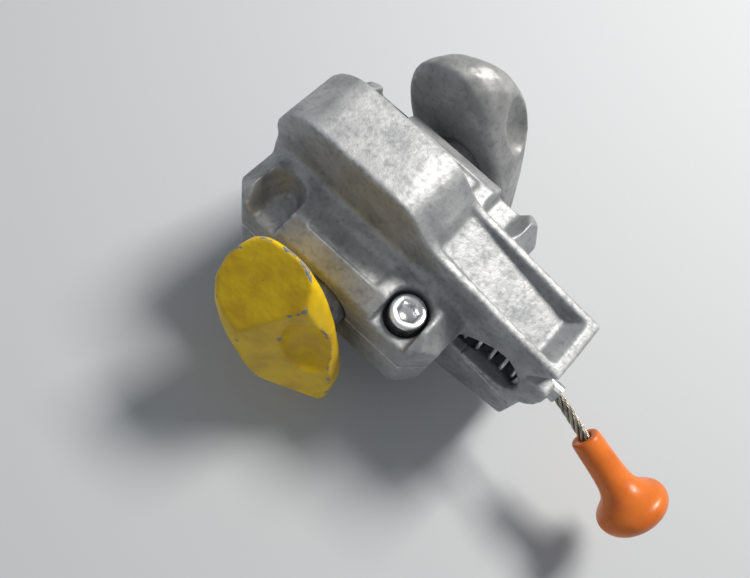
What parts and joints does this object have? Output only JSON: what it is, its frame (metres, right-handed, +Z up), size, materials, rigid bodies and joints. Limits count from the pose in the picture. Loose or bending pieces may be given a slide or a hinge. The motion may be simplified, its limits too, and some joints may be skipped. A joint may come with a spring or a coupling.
{
  "type": "container twistlock",
  "caption": "Semi-automatic container twistlock: split cast housing with flange and two collars, locking cones on one shaft, and a sprung wire pull with a knob.",
  "frame": {"origin": "on the flange's side face that the fitting lies on, straight below the shaft's axis at the flange's mid-plane", "axes": "+Y along the shaft from the lower (yellow) cone to the upper (grey) cone, +X to the nose and the pull wire, +Z up, square to the housing's parting plane"},
  "size_m": [0.2324, 0.175, 0.116],
  "materials": {
    "cast_housing": "hot-dip galvanised steel casting, light grey, coarse grain",
    "cast_cone": "hot-dip galvanised forging, bare grey",
    "yellow_paint": "thick yellow paint, chipped to grey at the edges",
    "plain_steel": "turned or cut steel, lightly oiled",
    "spring_steel": "cold drawn spring wire",
    "wire_rope": "stranded steel wire rope",
    "zinc_ferrule": "crimped sleeve",
    "zinc_screw": "bright zinc plated",
    "orange_plastic": "moulded orange plastic, glossy"
  },
  "bodies": {
    "housing": {"upper_housing": "cast_housing", "lower_housing": "cast_housing", "cap_screw_1": "zinc_screw", "cap_screw_2": "zinc_screw", "lock_washer_1": "plain_steel", "lock_washer_2": "plain_steel", "dowel_pin_1": "plain_steel", "dowel_pin_2": "plain_steel", "spring_seat": "plain_steel", "return_spring": "spring_steel"},
    "shaft": {"lock_shaft": "plain_steel", "lower_cone": "yellow_paint", "upper_cone": "cast_cone", "lower_cone_pin": "plain_steel", "upper_cone_pin": "plain_steel", "shaft_lever": "plain_steel", "lever_key": "plain_steel"},
    "pull": {"link_pin": "plain_steel", "pull_link": "plain_steel", "spring_cup": "plain_steel", "inner_ferrule": "zinc_ferrule", "pull_wire": "wire_rope", "stop_ferrule": "zinc_ferrule", "knob_ferrule": "zinc_ferrule", "pull_knob": "orange_plastic"}
  },
  "joints": [
    {"name": "shaft_turn", "type": "hinge", "parent": "housing", "child": "shaft", "pos_m": [0, 0, 0.058], "axis": [0, -1, 0], "range_deg": [0, 66], "stiffness_Nm_per_rad": 1.5, "springref_deg": -22.92},
    {"name": "pull_out", "type": "slide", "parent": "housing", "child": "pull", "axis": [1, 0, 0], "range_m": [0, 0.026], "deforming": ["return_spring"]}
  ],
  "couplings": [
    {"joint": "pull_out", "follows": "shaft_turn", "m_per_rad": 0.02255}
  ]
}
